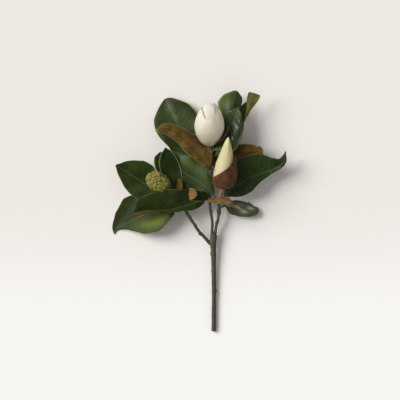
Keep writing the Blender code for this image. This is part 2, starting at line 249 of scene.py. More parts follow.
def makeCutWood():
    # sawn sapwood: pale, fibrous and matt, with a soft brown pith
    made, tree, place, mark = newMaterial("cutSapwood", "fromPith")
    rings = addTo(tree, "ValToRGB", {0: mark["fromPith"]}, stops=[
        (0.0, "7c5f3c"), (0.14, "8a6d45"), (0.22, "cdb98d"), (0.8, "c2b27e"), (0.93, "6d6a3c")])
    fibre = addTo(tree, "TexNoise", {"Vector": place, "Scale": 1500, "Detail": 3})
    fibreMask = addTo(tree, "Math", {0: fibre, 1: 0.4}, operation="MULTIPLY")
    fill(tree, tree.nodes["Principled BSDF"], {
        "Base Color": addTo(tree, "Mix", {0: fibreMask, 6: rings, 7: "9a8757"}, **colourMix),
        "Roughness": 0.8,
        "Normal": addTo(tree, "Bump", {"Height": fibre, "Strength": 0.4, "Distance": 0.0004})})
    return made


def makeBranch(node, path, radius, swell, knobs, rings):
    # the bark swells at knobs and at the old leaf scars, and each scar has a dark groove beside it
    centre = smoothPath(path, 16)
    length = np.linalg.norm(np.diff(centre, axis=0), axis=1).sum()
    centre = smoothPath(centre, int(length / woodValues["step"]))
    side, up = framesAlong(centre)
    centre = centre[:, None, :]
    along = np.linspace(0, length, len(centre))[:, None]
    angles = np.linspace(0, 2 * pi, woodValues["sides"], endpoint=False)[None, :]
    girth = stations([radius * k for k in swell], along / length) * np.ones_like(angles)
    ringMark = np.zeros_like(girth)
    for at, high, wide in rings:
        past = along - (at + woodValues["scarSlant"] * np.sin(angles + at))
        groove = np.exp(-((past - woodValues["grooveAt"] * wide) / wide) ** 2)
        girth += high * np.exp(-(past / wide) ** 2) - woodValues["grooveDepth"] * high * groove
        ringMark += np.exp(-((past - woodValues["darkAt"] * wide) / (woodValues["darkWidth"] * wide)) ** 2)
    for at, turn, high, wide in knobs:
        away = (angles - radians(turn) + pi) % (2 * pi) - pi
        girth += high * np.exp(-((along - at) / wide) ** 2 - (away / woodValues["knobWidth"]) ** 2)
    direction = outward(angles, side[:, None, :], up[:, None, :])
    spots = centre + girth[..., None] * direction
    (fineHigh, fineSize), (broadHigh, broadSize) = woodValues["fineLumps"], woodValues["broadLumps"]
    girth += (fineHigh * roughness3d(spots * (1, 0.3, 1), fineSize)
              + broadHigh * roughness3d(spots, broadSize, 5.0))
    loops = centre + girth[..., None] * direction
    grey = smoothStep(woodValues["greyFrom"], woodValues["greyTo"], loops[..., 1])
    marks = {"ring": np.clip(ringMark, 0, 0.8).ravel(), "heightOnBranch": grey.ravel()}
    return addPiece(node, *skin(loops), [bark], "bark", marks)


def makeCutEnd():
    # the sawn face: a shallow dish just inside the bark
    x, _, z = cutCentre
    sides, wide = cutValues["sides"], cutValues["radius"]
    ringsOut = np.linspace(0, 1, cutValues["rings"] + 1)[1:]
    angles = np.linspace(0, 2 * pi, sides, endpoint=False)
    front = [[(x + wide * k * cos(a), cutValues["middle"] + cutValues["dish"] * k, z + wide * k * sin(a))
              for a in angles] for k in ringsOut]
    back = [(px, py + cutValues["depth"], pz) for px, py, pz in front[-1]]
    loops = np.array(front + [back])
    marks = {"fromPith": np.concatenate([[1] * sides] + [[k] * sides for k in ringsOut[::-1]] + [[0]])}
    addPiece("cut_end", *skin(loops[::-1], tip=(x, cutValues["pith"], z)), [makeCutWood()], "bark", marks)


bark = makeBark()
stem, *twigs = [makeBranch(node, **values) for node, values in branches.items()]
makeCutEnd()
print("wood: stem and", len(twigs), "twigs,", len(stem.data.vertices), "points on the stem")

leafValues = dict(rows=130, columns=41, halfThickness=0.38, stalkRadius=1.5, point=1.25, veinSpacing=11.0,
                  veinSlant=0.62, veinWaver=7.0, pucker=0.03, rimDip=1.0, ribGroove=0.45, ribRidge=1.0,
                  restHeight=0.45, restEase=2.6, restBelow=3.05)


def leafVeins(tree, mark, cloud, near, far):
    # side veins leave the midrib at about 55 degrees, bend towards the tip and waver a little
    slant = addTo(tree, "Math", {0: mark["fromRib"], 1: -leafValues["veinSlant"], 2: mark["alongBlade"]},
                  operation="MULTIPLY_ADD")
    wobble = addTo(tree, "Math", {0: cloud, 1: leafValues["veinWaver"], 2: slant}, operation="MULTIPLY_ADD")
    between = addTo(tree, "Math", {0: wobble, 1: leafValues["veinSpacing"] / 2}, operation="PINGPONG")
    return addTo(tree, "MapRange", {0: between, 1: near, 2: far})


def makeLeafUpper(name, dark, light, rough=0.36, ribShow=0.24, rimShow=0.45, rimFrom=0.96, shine=0.17,
                  paleAndSheenColour="8b993f"):
    # living magnolia leaf, upper face: a waxy cuticle that is deep green and mirrors the light softly
    made, tree, place, mark = newMaterial(name, "fromRib", "alongBlade", "rim", "pale", "dry", "stalk")
    cloud = addTo(tree, "TexNoise", {"Vector": place, "Scale": 38, "Detail": 3})
    speck = addTo(tree, "TexNoise", {"Vector": place, "Scale": 700, "Detail": 4})
    net = addTo(tree, "TexVoronoi", {"Vector": place, "Scale": 380}, feature="DISTANCE_TO_EDGE")
    vein = leafVeins(tree, mark, cloud, 0.9, 0.15)
    veinMask = addTo(tree, "Math", {0: vein, 1: 0.10}, operation="MULTIPLY")
    speckMask = addTo(tree, "MapRange", {0: speck, 1: 0.58, 2: 0.75, 4: 0.35})
    rib = addTo(tree, "MapRange", {0: mark["fromRib"], 1: 1.5, 2: 0.5})
    ribMask = addTo(tree, "Math", {0: rib, 1: ribShow}, operation="MULTIPLY")
    # a lighter rim along the margin: partly the margin's own tone, partly a painted highlight on the rolled
    # edge
    rimMask = addTo(tree, "MapRange", {0: mark["rim"], 1: rimFrom, 2: rimFrom + 0.04, 4: rimShow})
    greenMask = addTo(tree, "MapRange", {0: cloud, 1: 0.36, 2: 0.66})
    colour = addTo(tree, "Mix", {0: greenMask, 6: dark, 7: light}, **colourMix)
    # light spots: partly the leaf's own colour (yellowing, a light tip), partly painted light, highlights and
    # silvery reflections laid into the colour
    for mask, above in ((veinMask, "5f6c3a"), (speckMask, "5b5a2e"), (mark["pale"], paleAndSheenColour),
                        (ribMask, "6f7a42"), (rimMask, "858c52"), (mark["dry"], "5a4526"),
                        (mark["stalk"], "4f4a2a")):
        colour = addTo(tree, "Mix", {0: mask, 6: colour, 7: above}, **colourMix)
    gloss = addTo(tree, "MapRange", {0: cloud, 1: 0.3, 2: 0.7, 3: rough - 0.05, 4: rough + 0.1})
    netBump = addTo(tree, "Bump", {"Height": net, "Strength": 0.12, "Distance": 0.0006})
    fill(tree, tree.nodes["Principled BSDF"], {
        "Base Color": colour, "IOR": 1.45, "Specular IOR Level": shine,
        "Roughness": addTo(tree, "Math", {0: mark["dry"], 1: 0.3, 2: gloss}, operation="MULTIPLY_ADD"),
        "Normal": addTo(tree, "Bump", {"Height": vein, "Strength": 0.12, "Distance": 0.0008,
                                       "Normal": netBump}, invert=True)})
    return made


def makeLeafUnder(name, dark, light, hem="6c7438", ribColour="7a6432"):
    # under face of a magnolia leaf: a felt of fine rust-brown hairs, matt and soft, thinner over the veins
    made, tree, place, mark = newMaterial(name, "fromRib", "alongBlade", "rim", "pale", "stalk")
    cloud = addTo(tree, "TexNoise", {"Vector": place, "Scale": 55, "Detail": 4})
    hair = addTo(tree, "TexNoise", {"Vector": place, "Scale": 1400, "Detail": 4, "Roughness": 0.7})
    vein = leafVeins(tree, mark, cloud, 1.1, 0.2)
    hairMask = addTo(tree, "MapRange", {0: hair, 1: 0.45, 2: 0.75, 4: 0.3})
    veinMask = addTo(tree, "Math", {0: vein, 1: 0.15}, operation="MULTIPLY")
    rib = addTo(tree, "MapRange", {0: mark["fromRib"], 1: 2.0, 2: 0.9})
    ribMask = addTo(tree, "Math", {0: rib, 1: 0.4}, operation="MULTIPLY")
    rimMask = addTo(tree, "MapRange", {0: mark["rim"], 1: 0.86, 2: 0.97, 4: 0.8})
    feltMask = addTo(tree, "MapRange", {0: cloud, 1: 0.35, 2: 0.65})
    colour = addTo(tree, "Mix", {0: feltMask, 6: dark, 7: light}, **colourMix)
    for mask, above in ((hairMask, "8a6433"), (veinMask, "85733c"), (ribMask, ribColour), (rimMask, hem),
                        (mark["pale"], "93a055"), (mark["stalk"], "4f4a2a")):
        colour = addTo(tree, "Mix", {0: mask, 6: colour, 7: above}, **colourMix)
    veinBump = addTo(tree, "Bump", {"Height": vein, "Strength": 0.4, "Distance": 0.0008})
    fill(tree, tree.nodes["Principled BSDF"], {
        "Base Color": colour, "Roughness": 0.85, "Specular IOR Level": 0.12, "Sheen Weight": 0.03,
        "Normal": addTo(tree, "Bump", {"Height": hair, "Strength": 0.5, "Distance": 0.0004,
                                       "Normal": veinBump})})
    return made


darkLeaf = makeLeafUpper("waxyLeafDeepGreen", "1c290d", "293a14")
# its light-spot colour is a painted highlight on the upper left leaf and the light green of a curled tip on
# another
midLeaf = makeLeafUpper("waxyLeafGreen", "1f2b0d", "303d15", shine=0.14, paleAndSheenColour="85905f")
oliveLeaf = makeLeafUpper("waxyLeafOliveGreen", "1f290d", "323d16", shine=0.09)
silverLeaf = makeLeafUpper("waxyLeafGreyGreen", "626a4a", "777e5c", shine=0.4)
glossyLeaf = makeLeafUpper("waxyLeafHighGloss", "263216", "3c4a22", shine=0.55)
# painted reflection: its light-spot colour lays silvery streaks of reflected light into the leaf, over a real
# gloss
paintedSheenLeaf = makeLeafUpper("waxyLeafGlossPaintedSheen", "2f3a1e", "4a5532", rough=0.3, shine=0.7,
                           paleAndSheenColour="c2c5ae")
rimmedLeaf = makeLeafUpper("waxyLeafPaleRim", "1a280b", "273712", ribShow=0.06, rimShow=0.58, rimFrom=0.88)
rustFelt = makeLeafUnder("rustFeltUnderside", "55371b", "77532c")
duskFelt = makeLeafUnder("duskyFeltUnderside", "66492a", "856540")
russetFelt = makeLeafUnder("russetFeltUnderside", "532d1a", "743f26", hem="743f26")
oliveFelt = makeLeafUnder("oliveFeltUnderside", "403210", "604c22", ribColour="2a1d0a")
youngFelt = makeLeafUnder("youngFeltUnderside", "5a5a2c", "76743f", hem="8a6a3a", ribColour="4b4520")

# path: midrib from inside the twig to the leaf tip; stalk: its bare length; left, right: widths of the halves
# seen along the path; widest: where, 0 to 1; point: how pointed both ends are; nib: how much the tip narrows;
# roll, fold, cup: degrees (twist, V between the halves, bend of each half); leftCup: bend of the left half
# wave: height in mm, number and start of the waves of the left and of the right edge
# lumps: height of broad lumps; ripple: height and spacing of ripples in mm, and the share of each direction
# pale, dry: (place along, place across from -1 to 1, radius along, radius across, strength); the
# light spots are partly the leaf's own (yellowing, a light tip) and partly painted highlights and reflections
leaves = {
    "leaf_upper_left": dict(
        stalk=16, left=(40, 45, 39, 46, 51, 38), right=(40, 44, 44, 44, 48, 42), widest=0.5,
        roll=(0, -8, -12, -8, 0), fold=(4, 2), cup=(6, 10), upper=midLeaf, under=rustFelt,
        wave=((2.0, 2.5, 0.1), (2.0, 2.0, 0.4)), nib=0.0,
        # painted highlight: two light spots near the tip
        pale=[(0.86, -0.05, 0.08, 0.22, 0.25), (0.72, 0.02, 0.08, 0.12, 0.25)],
        path=[(-9, 342, 51), (-20, 348, 40), (-41, 363, 24), (-67, 404, 15), (-83, 434, 9), (-97, 465, 2)]),
    "leaf_rust_upper": dict(
        stalk=8, left=(38, 36, 24, 17, 15), right=(12, 14, 16, 19, 21), widest=0.5, roll=180, fold=5,
        cup=(10, 30, 60, 40), upper=midLeaf, under=oliveFelt, wave=((1.0, 3, 0.1), (1.2, 3, 0.6)),
        pale=[(1.0, 0, 0.03, 2.0, 0.8)],
        path=[(-8, 322, 46), (-15, 332, 57), (-44, 364, 62), (-76, 396, 60), (-98, 404, 56),
              (-117, 399, 50)]),
    "leaf_top": dict(
        stalk=12, left=(4, 4, 15, 33, 32), right=(14, 16, 15, 28), widest=0.6, roll=(14, 8),
        fold=(-10, -16), cup=6, upper=glossyLeaf, under=rustFelt, wave=((1.5, 2, 0.3), (1.6, 2, 0.1)),
        # painted highlight: a light patch on the left half, the half that faces the lamp
        ripple=(0.7, 26, 0.1, 1.0), pale=[(0.6, -0.75, 0.5, 0.35, 0.3)],
        path=[(-11, 362, 57), (0, 368, 48), (16, 392, 41), (30, 424, 37), (38, 452, 35), (44, 480, 35)]),
    "leaf_top_front": dict(
        stalk=10, left=(5, 8, 8, 24, 21), right=(20, 17), widest=0.5, roll=(16, 15, 5, 2), fold=4, cup=8,
        upper=glossyLeaf, under=rustFelt, wave=((1.2, 3, 0.2), (1.4, 3, 0.5)), ripple=(0.45, 10, 0.9, 0.45),
        path=[(-10, 356, 56), (4, 364, 56), (18, 380, 55), (33, 408, 55), (42, 428, 55), (47, 446, 55)]),
    "leaf_top_dark": dict(
        stalk=12, left=16, right=16, widest=0.55, roll=0, fold=8, cup=8, upper=midLeaf, under=rustFelt,
        wave=((1.2, 2, 0.2), (1.2, 2, 0.5)), nib=0.1,
        path=[(-10, 350, 53), (0, 353, 42), (14, 368, 31), (42, 414, 27), (56, 438, 30), (66, 457, 34)]),
    "leaf_top_right": dict(
        stalk=12, left=(3, 8, 12, 12, 9, 3, 4, 11, 17), right=(9, 20, 21, 17, 10, 3, 4, 11, 17),
        widest=0.55, roll=(0, 0, 8, 12, 30, 110, 160, 170, 172), fold=2, cup=6, upper=silverLeaf,
        under=youngFelt, point=0.25, wave=((0.8, 2, 0.2), (0.8, 2, 0.5)), nib=0.0,
        path=[(-9, 346, 54), (4, 352, 50), (24, 372, 47), (42, 394, 45), (59, 420, 43), (70, 446, 47),
              (81, 474, 56)]),
    "leaf_far_left": dict(
        stalk=12, left=(34, 34, 32, 24), right=(10, 36, 44, 32), widest=0.45, roll=0, fold=(8, 4), cup=10,
        upper=midLeaf, under=rustFelt, wave=((1.6, 2.5, 0.2), (1.8, 2.5, 0.6)),
        path=[(-78, 274, 42), (-92, 276, 34), (-131, 290, 27), (-157, 307, 27), (-177, 320, 31),
              (-196, 331, 37)]),
    "leaf_low_left": dict(
        stalk=14, left=(44, 44, 47, 40, 15, 2), right=(36, 40, 42, 46, 55, 50, 14), widest=0.43,
        roll=(0, 2, 2, 0), fold=(4, 2), cup=(8, 4), upper=oliveLeaf, under=rustFelt,
        wave=((1.0, 2, 0.1), (1.2, 2.5, 0.6)), nib=0.0, pale=[(0.34, -0.55, 0.26, 0.3, 0.45)],
        dry=[(1.0, 0, 0.035, 2, 0.9)],
        path=[(-62, 249, 33), (-76, 258, 27), (-110, 248, 19), (-142, 232, 12), (-168, 219, 7),
              (-187, 210, 4), (-196, 203, 2.4), (-199, 193, 0.6)]),
    "leaf_front": dict(
        stalk=10, left=(26, 20, 9, 7, 8, 18, 36), leftCup=(10, 10, 20, 90, 170, 190, 190),
        right=(44, 47, 43), widest=0.55, roll=(10, 14, 12), fold=4, cup=8, upper=midLeaf, under=russetFelt,
        wave=((0.8, 3, 0.1), (1.8, 2.5, 0.3)),
        path=[(-8, 262, 30), (-18, 262, 37), (-40, 256, 42), (-70, 247, 45), (-105, 241, 46),
              (-135, 241, 44), (-160, 236, 40)]),
    "leaf_behind_pod": dict(
        stalk=6, left=(8, 18, 24, 22), right=22, widest=0.42, roll=0, fold=4, cup=(8, 24), upper=rimmedLeaf,
        under=rustFelt, wave=((1.4, 2, 0.1), (1.4, 2, 0.6)),
        path=[(-80, 278, 47), (-79, 288, 42), (-86, 312, 38), (-92, 340, 42), (-97, 366, 50)]),
    "leaf_hidden_left": dict(
        stalk=10, left=(8, 11, 13, 15, 18, 19), right=(13, 15, 15), widest=0.6, roll=0, fold=6, cup=6,
        upper=rimmedLeaf, under=rustFelt, wave=((1.0, 2, 0.1), (1.0, 2, 0.6)), point=0.9,
        path=[(-74, 268, 40), (-84, 284, 28), (-96, 314, 17), (-103, 338, 16), (-105, 358, 20)]),
    "leaf_left_inner": dict(
        stalk=24, left=(14, 28, 34, 36), right=(14, 32, 38, 40), widest=0.5, roll=0, fold=(4, 2),
        cup=(6, 2), upper=darkLeaf, under=rustFelt, wave=((1.6, 2.5, 0.1), (1.8, 2.5, 0.6)),
        # painted highlight: a long soft light streak on the right half
        pale=[(0.66, 0.55, 0.4, 0.28, 0.18)],
        path=[(9.8, 252, 32), (3, 266, 42), (-8, 280, 46), (-31, 299, 41), (-60, 317, 36), (-79, 337, 32),
              (-89, 361, 28)]),
    "leaf_curled": dict(
        stalk=8, left=12, right=13, widest=0.6, roll=0, fold=4, cup=10, upper=rimmedLeaf, under=duskFelt,
        wave=((1.0, 3, 0.1), (1.0, 3, 0.6)), point=0.8,
        path=[(-8, 270, 33), (-16, 269, 46), (-34, 270, 57), (-46, 272, 62), (-50, 273, 67),
              (-46, 274, 72), (-34, 274, 74)]),
    "leaf_folded": dict(
        stalk=14, left=10, right=10, widest=0.55, roll=0, fold=6, cup=14, upper=silverLeaf, under=duskFelt,
        wave=((1.0, 4, 0.1), (1.0, 5, 0.6)),
        path=[(9.6, 246, 29), (22, 250, 34), (34, 256, 42), (36, 260, 51), (24, 261, 56), (4, 262, 57),
              (-14, 261, 56)]),
    "leaf_right": dict(
        stalk=22, left=(42, 46, 45, 38, 20, 8), right=(30, 32, 27, 14, 8, 7, 6), widest=0.5, roll=0, fold=4,
        cup=8, upper=darkLeaf, under=rustFelt, wave=((1.8, 2.5, 0.3), (1.4, 3, 0.1)),
        dry=[(0.97, -1, 0.06, 0.5, 0.8)],
        path=[(9.8, 250, 31), (20, 268, 35), (34, 283, 37), (67, 304, 38), (99, 317, 36), (124, 327, 37),
              (138, 338, 43), (142, 359, 54)]),
    "leaf_rust_right": dict(
        stalk=4, left=(30, 22, 20, 20), right=(30, 20, 18, 18), widest=0.5, roll=180, fold=4, cup=12,
        upper=midLeaf, under=oliveFelt, wave=((1.2, 3, 0.1), (1.4, 3, 0.6)), point=0.75,
        path=[(-9, 332, 48), (4, 338, 43), (34, 352, 37), (66, 356, 35), (86, 359, 37), (94, 367, 42)]),
    "stipule": dict(
        stalk=3, left=5, right=5, widest=0.5, roll=0, fold=10, cup=20, upper=rustFelt, under=rustFelt,
        wave=((0.5, 3, 0.1), (0.5, 3, 0.6)),
        path=[(-77, 272, 45), (-70, 284, 48), (-68, 294, 47), (-70, 305, 46)]),
    "leaf_low_right": dict(
        stalk=23, left=(6, 8, 12, 18, 23, 19, 10), right=(24, 26, 27, 22, 16, 16, 14), widest=0.5,
        roll=(0, 4, 4), fold=2, cup=4, upper=paintedSheenLeaf, under=rustFelt,
        wave=((0.8, 3, 0.1), (0.8, 2, 0.6)), point=0.55, lumps=0.6, nib=0.0, ripple=(0.5, 11, 0.9, 0.3),
        # painted reflections: silvery streaks where the leaf mirrors the lamp, laid into its colour
        pale=[(0.2, 0.0, 0.12, 0.15, 0.7), (0.42, 0.1, 0.14, 0.18, 0.95), (0.6, 0.22, 0.1, 0.28, 0.95),
              (0.76, -0.35, 0.12, 0.22, 0.8), (0.45, -0.4, 0.14, 0.1, 0.45)],
        path=[(9.5, 241, 28), (14, 247, 17), (22, 253, 7), (42, 252, 5), (63, 241, 5), (78, 240, 6),
              (89, 244, 7.5)]),
}


def bladeWidth(t, widest, point):
    # outline of one half from the stalk (0) to the tip (1): pointed ellipse, 1 where it is widest
    return (t / widest) ** (point * widest) * ((1 - t) / (1 - widest)) ** (point * (1 - widest))


def stains(spots, t, across):
    # soft spots on a blade, each as strong as the strongest that reaches a point
    mark = np.zeros(np.broadcast(t, across).shape)
    for at, side, long, wide, strength in spots:
        mark = np.maximum(mark, strength * np.exp(-((t - at) / long) ** 2 - ((across - side) / wide) ** 2))
    return mark


def makeLeaf(node, path, stalk, left, right, widest, roll, fold, cup, upper, under, wave, leftCup=None,
             point=None, nib=0.3, pale=(), dry=(), lumps=1.2, ripple=None):
    # midrib: points close together along the stalk and at both ends of the blade
    route = smoothPath(path, 500)
    route = route[np.linalg.norm(route - route[0], axis=1) > 1.8]
    steps = np.linalg.norm(np.diff(route, axis=0), axis=1)
    run = np.concatenate([[0], np.cumsum(steps)])
    length = run[-1]
    spaced = np.linspace(0, 1, leafValues["rows"])
    spaced = 0.65 * spaced + 0.35 * (0.5 - 0.5 * np.cos(pi * spaced))
    where = np.concatenate([np.linspace(0, stalk, 14)[:-1], stalk + (length - stalk) * spaced])[:-1]
    centre = np.array([np.interp(np.append(where, length), run, route[:, k]) for k in range(3)]).T
    tip = centre[-1]
    side, up = (f[:-1] for f in framesAlong(centre))
    centre = centre[:-1]
    # t runs along the blade from 0 to 1, and x across it from -1 to 1
    t = np.clip((where - stalk) / (length - stalk), 0, 1)[:, None]
    x = -np.cos(np.linspace(0, pi, leafValues["columns"]))[None, :]
    x = np.sign(x) * np.abs(x) ** 0.9
    turn = np.radians(stations(roll, t))
    side, up = np.cos(turn) * side + np.sin(turn) * up, np.cos(turn) * up - np.sin(turn) * side
    spread = np.minimum(1, t / 0.25)
    half = np.where(x < 0, stations(left, t), stations(right, t))
    stalkRadius = leafValues["stalkRadius"] * (1 + 0.5 * np.exp(-(where[:, None] / 4) ** 2))
    blade = half * bladeWidth(t, widest, point or leafValues["point"])
    wide = stalkRadius * np.maximum(0.25, 1 - t * 1.5) + blade
    wide = wide * (1 - nib * smoothStep(0.9, 0.98, t))
    tilt = np.radians(stations(fold, t)) * spread
    bothCups = np.where(x < 0, stations(cup if leftCup is None else leftCup, t), stations(cup, t))
    bend = np.radians(bothCups) * spread + 1e-4
    angle = tilt + bend * np.abs(x)
    out = np.sign(x) * wide * (np.sin(angle) - np.sin(tilt)) / bend
    rise = wide * (np.cos(tilt) - np.cos(angle)) / bend
    side, up = side[:, None, :], up[:, None, :]
    normal = (-np.sign(x) * np.sin(angle))[..., None] * side + np.cos(angle)[..., None] * up
    edge = np.abs(x)
    (leftHigh, leftCount, leftStart), (rightHigh, rightCount, rightStart) = wave
    swing = np.where(x < 0, leftHigh * np.sin(2 * pi * (leftCount * t + leftStart)),
                     rightHigh * np.sin(2 * pi * (rightCount * t + rightStart)))
    lift = swing * edge ** 1.6 * spread * (1 - t ** 6)
    lift = lift - leafValues["rimDip"] * smoothStep(0.75, 1, edge) ** 2 * spread
    middle = centre[:, None, :] + out[..., None] * side + rise[..., None] * up
    lift = lift + lumps * roughness3d(middle, 24, 3.0) * spread * edge ** 0.7
    fromRib = wide * edge
    if ripple:
        high, spacing, lengthwise, sideways = ripple
        drift = 2.5 * roughness3d(middle, 30, 9.0)
        crest = (lengthwise * where[:, None] + sideways * x * wide + drift) / spacing
        lift = lift + high * np.sin(2 * pi * crest) * spread * (1 - t ** 8)
    # the blade puckers a little between the side veins
    slanted = where[:, None] - stalk - leafValues["veinSlant"] * fromRib
    phase = 2 * pi * (slanted + 3 * np.sign(x)) / leafValues["veinSpacing"]
    inside = spread * smoothStep(0, 0.3, edge) * (1 - smoothStep(0.8, 1, edge))
    lift = lift + leafValues["pucker"] * np.cos(phase) * inside
    middle = middle + lift[..., None] * normal
    # a blade that would dip into the floor lies along it instead
    below, ease = leafValues["restBelow"], leafValues["restEase"]
    resting = leafValues["restHeight"] + ease * np.exp(np.minimum(0, middle[..., 2] - below) / ease)
    middle[..., 2] = np.where(middle[..., 2] < below, resting, middle[..., 2])
    # round at the stalk, thin on the blade, with a groove above the midrib and a ridge under it
    body = 1 - np.minimum(1, t / 0.35) ** 0.5
    thick = leafValues["halfThickness"] + (stalkRadius - leafValues["halfThickness"]) * body
    depth = thick * np.sqrt(np.maximum(0, 1 - edge ** 2)) ** (1 - 0.6 * spread)
    ribLine = np.exp(-(fromRib / 1.3) ** 2) * spread * (1 - 0.7 * t)
    top = middle + (depth - leafValues["ribGroove"] * ribLine)[..., None] * normal
    bottom = middle - (depth + leafValues["ribRidge"] * ribLine)[..., None] * normal
    loops = np.concatenate([top, bottom[:, -2:0:-1]], axis=1)
    points, faces = skin(loops, tip=tip)
    around = loops.shape[1]
    topFaces = leafValues["columns"] - 1
    faceSide = [0 if k % around < topFaces else 1 for k in range((len(loops) - 1) * around)]
    faceSide += [0] + [0 if k < topFaces else 1 for k in range(around)]

    def spreadOver(values):
        # a value on the blade, given to both faces
        values = np.broadcast_to(values, (len(where), x.shape[1]))
        return np.concatenate([values, values[:, -2:0:-1]], axis=1).ravel()

    marks = {"fromRib": spreadOver(fromRib),
             "alongBlade": spreadOver(where[:, None] - stalk + 4 * np.sign(x)),
             "rim": spreadOver(edge * np.minimum(1, t / 0.12)), "pale": spreadOver(stains(pale, t, x)),
             "dry": spreadOver(stains(dry, t, x)), "stalk": spreadOver(1 - smoothStep(0, 0.06, t))}
    addPiece(node, points, faces, [upper, under], "leaf", marks, faceSide)


for node, values in leaves.items():
    makeLeaf(node, **values)
print("leaves:", len(leaves))


def makePetalSurface(name, deepAndShade, base, tip, rough, paintedLightColour, rimAndShadeColour):
    # a living tepal: waxy and slightly translucent, with faint lengthwise veins about 3 mm apart
    made, tree, place, mark = newMaterial(name, "alongPetal", "acrossPetal", "rim", "warm", "band")
    cloud = addTo(tree, "TexNoise", {"Vector": place, "Scale": 60, "Detail": 3})
    fine = addTo(tree, "TexNoise", {"Vector": place, "Scale": 900, "Detail": 3})
    lined = addTo(tree, "Math", {0: cloud, 1: 2.5, 2: mark["acrossPetal"]}, operation="MULTIPLY_ADD")
    between = addTo(tree, "Math", {0: lined, 1: 1.6}, operation="PINGPONG")
    vein = addTo(tree, "MapRange", {0: between, 1: 0.6, 2: 0.0})
    veinMask = addTo(tree, "Math", {0: vein, 1: 0.16}, operation="MULTIPLY")
    cloudMask = addTo(tree, "MapRange", {0: cloud, 1: 0.5, 2: 0.75, 4: 0.2})
    # the rim colour, mixed in last, is partly the edges' own yellowish tone and partly painted shade along
    # the petal edges, the notch and the folds
    rimMask = addTo(tree, "Math", {0: mark["rim"], 1: 0.55}, operation="MULTIPLY")
    # darker olive low on the bud and lighter towards the tip: partly the tepal's own greenish base, partly
    # painted shade at the bottom of the bud
    colour = addTo(tree, "ValToRGB", {0: mark["alongPetal"]}, stops=[(0.0, deepAndShade), (0.42, base), (1.0, tip)])
    # the third layer mixed in is painted light: a light yellowish patch that lifts a shaded side of the bud
    for mask, above in ((veinMask, deepAndShade), (cloudMask, deepAndShade), (mark["warm"], paintedLightColour), (mark["band"], "d2b983"),
                        (rimMask, rimAndShadeColour)):
        colour = addTo(tree, "Mix", {0: mask, 6: colour, 7: above}, **colourMix)
    veinBump = addTo(tree, "Bump", {"Height": vein, "Strength": 0.3, "Distance": 0.0005})
    fill(tree, tree.nodes["Principled BSDF"], {
        "Base Color": colour, "Roughness": rough, "IOR": 1.4, "Subsurface Weight": 0.3,
        "Subsurface Radius": (0.01, 0.008, 0.006), "Subsurface Scale": 1.0,
        "Normal": addTo(tree, "Bump", {"Height": fine, "Strength": 0.15, "Distance": 0.0003,
                                       "Normal": veinBump})})
    return made


def makeBractFelt(name, dark, light):
    # bud scale: leathery, under a nap of short russet hairs
    made, tree, place, mark = newMaterial(name, "rim")
    cloud = addTo(tree, "TexNoise", {"Vector": place, "Scale": 90, "Detail": 4})
    stretched = addTo(tree, "Mapping", {0: place, 3: (1, 0.3, 1)})
    nap = addTo(tree, "TexNoise", {"Vector": stretched, "Scale": 1500, "Detail": 5, "Roughness": 0.7})
    feltMask = addTo(tree, "MapRange", {0: cloud, 1: 0.35, 2: 0.65})
    napMask = addTo(tree, "MapRange", {0: nap, 1: 0.5, 2: 0.75, 4: 0.35})
    rimMask = addTo(tree, "Math", {0: mark["rim"], 1: 0.6}, operation="MULTIPLY")
    colour = addTo(tree, "Mix", {0: feltMask, 6: dark, 7: light}, **colourMix)
    for mask, above in ((napMask, "84572f"), (rimMask, "33180d")):
        colour = addTo(tree, "Mix", {0: mask, 6: colour, 7: above}, **colourMix)
    fill(tree, tree.nodes["Principled BSDF"], {
        "Base Color": colour, "Roughness": 0.65, "Specular IOR Level": 0.2, "Sheen Weight": 0.02,
        "Normal": addTo(tree, "Bump", {"Height": nap, "Strength": 0.6, "Distance": 0.0005})})
    return made


russetBract = makeBractFelt("russetBract", "3b210f", "603b20")
brownBract = makeBractFelt("brownBract", "38230f", "6a4630")

# lean, blunt: where the bud is widest and how blunt it is; inner: the closed petals inside, as a share of the
# radius, with the turns of their edges and the height of each edge
whiteBud = dict(
    base=(-11, 368, 60), tip=(-6, 457, 66), radius=29.4, lean=0.9, blunt=0.6, slot="white_petal",
    # the first colour is partly painted shade low on the bud, the fifth is painted light for its shaded side,
    # and the last is partly painted shade along edges and folds
    finish=makePetalSurface("whiteTepal", "ada27c", "dbd0b6", "ebe5d7", 0.45, "f5e6c4", "c2b283"),
    inner=dict(share=0.9, turns=0.9, foldHeight=1.2))
creamBud = dict(
    base=(17, 285, 60), tip=(28, 386, 80), radius=22.5, lean=0.53, blunt=0.745, slot="cream_petal",
    finish=makePetalSurface("creamTepal", "cdbd97", "cfc18f", "cfcb90", 0.5, "b9bf74", "cdbf86"),
    inner=dict(share=0.88, turns=0.6, foldHeight=1.0))

